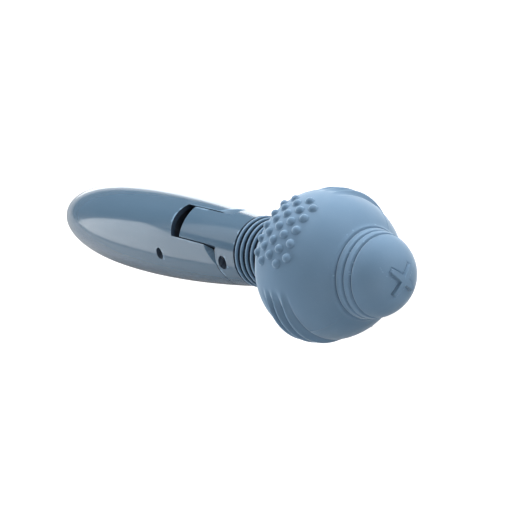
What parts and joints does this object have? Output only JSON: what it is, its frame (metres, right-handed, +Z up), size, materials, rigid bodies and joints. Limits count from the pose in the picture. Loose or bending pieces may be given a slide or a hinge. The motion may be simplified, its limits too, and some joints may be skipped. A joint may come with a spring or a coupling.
{
  "type": "handheld wand massager",
  "caption": "Cordless wand massager: a hollow handle, a tilting neck, a flexible bellows and a soft vibrating ball head with massage nodules.",
  "frame": {"origin": "centre of the bounding box in plan, on the surface that the wand lies on", "axes": "+X from the tail to the nose, +Z up with the tongue side up, +Y to the left when looking along +X"},
  "size_m": [0.2496, 0.063, 0.0638],
  "materials": {
    "gloss_case": "glossy moulded plastic, deep grey blue",
    "soft_skin": "matte soft-touch silicone, grey blue",
    "button_skin": "matte soft-touch button",
    "seal_rubber": "black rubber",
    "black_plastic": "dark moulded plastic",
    "battery_wrap": "steel can in blue shrink wrap",
    "circuit_board": "green board",
    "zinc_steel": "zinc-plated steel",
    "magnet": "sintered ferrite",
    "brass": "turned brass",
    "windings": "wound core"
  },
  "bodies": {
    "handle": {"handle_shell_left": "gloss_case", "handle_shell_right": "gloss_case", "case_screws": "zinc_steel", "slot_liner": "black_plastic", "hinge_bracket": "black_plastic", "battery_cell": "battery_wrap", "battery_cradle": "black_plastic", "control_board": "circuit_board", "board_screws": "zinc_steel", "tact_switch": "black_plastic", "charging_socket": "black_plastic", "socket_nut": "zinc_steel", "button_gasket": "seal_rubber"},
    "button": {"power_button": "button_skin", "switch_plunger": "brass"},
    "neck": {"neck_housing": "gloss_case", "hinge_pin": "zinc_steel", "hinge_washers": "zinc_steel", "knuckle_guard": "black_plastic", "neck_bulkhead": "black_plastic", "bulkhead_screws": "zinc_steel", "bellows_ring_rear": "zinc_steel"},
    "flex_core": {"neck_bellows": "soft_skin", "coupling_spring": "zinc_steel"},
    "head": {"bellows_ring_front": "zinc_steel", "capsule_rear": "black_plastic", "capsule_front": "black_plastic", "capsule_screws": "zinc_steel", "cover_ring": "zinc_steel", "head_cover": "soft_skin", "motor_sleeve": "seal_rubber", "motor_can": "zinc_steel", "motor_magnets": "magnet", "motor_end_cap": "black_plastic", "rear_bush": "brass", "front_bush": "brass"},
    "rotor": {"motor_shaft": "zinc_steel", "armature": "windings", "commutator": "brass", "eccentric_weight": "brass"}
  },
  "joints": [
    {"name": "button_press", "type": "slide", "parent": "handle", "child": "button", "axis": [-0.0775, 0, 0.997], "range_m": [0, 0.0006], "stiffness_N_per_m": 3000, "springref_m": -0.0004},
    {"name": "head_tilt", "type": "hinge", "parent": "handle", "child": "neck", "pos_m": [0.0292, 0, 0.03773], "axis": [0, -1, 0], "range_deg": [0, 30]},
    {"name": "neck_flex_pitch", "type": "hinge", "parent": "neck", "child": "flex_core", "pos_m": [0.04542, 0, 0.02917], "axis": [0, -1, 0], "range_deg": [-6, 6], "stiffness_Nm_per_rad": 3.5, "deforming": ["neck_bellows", "coupling_spring"]},
    {"name": "neck_flex_yaw", "type": "hinge", "parent": "flex_core", "child": "head", "pos_m": [0.04542, 0, 0.02917], "axis": [-0.0775, 0, 0.997], "range_deg": [-6, 6], "stiffness_Nm_per_rad": 3.5},
    {"name": "rotor_spin", "type": "hinge", "parent": "head", "child": "rotor", "pos_m": [0.06087, 0, 0.03037], "axis": [0.997, 0, 0.0775], "continuous": true}
  ]
}
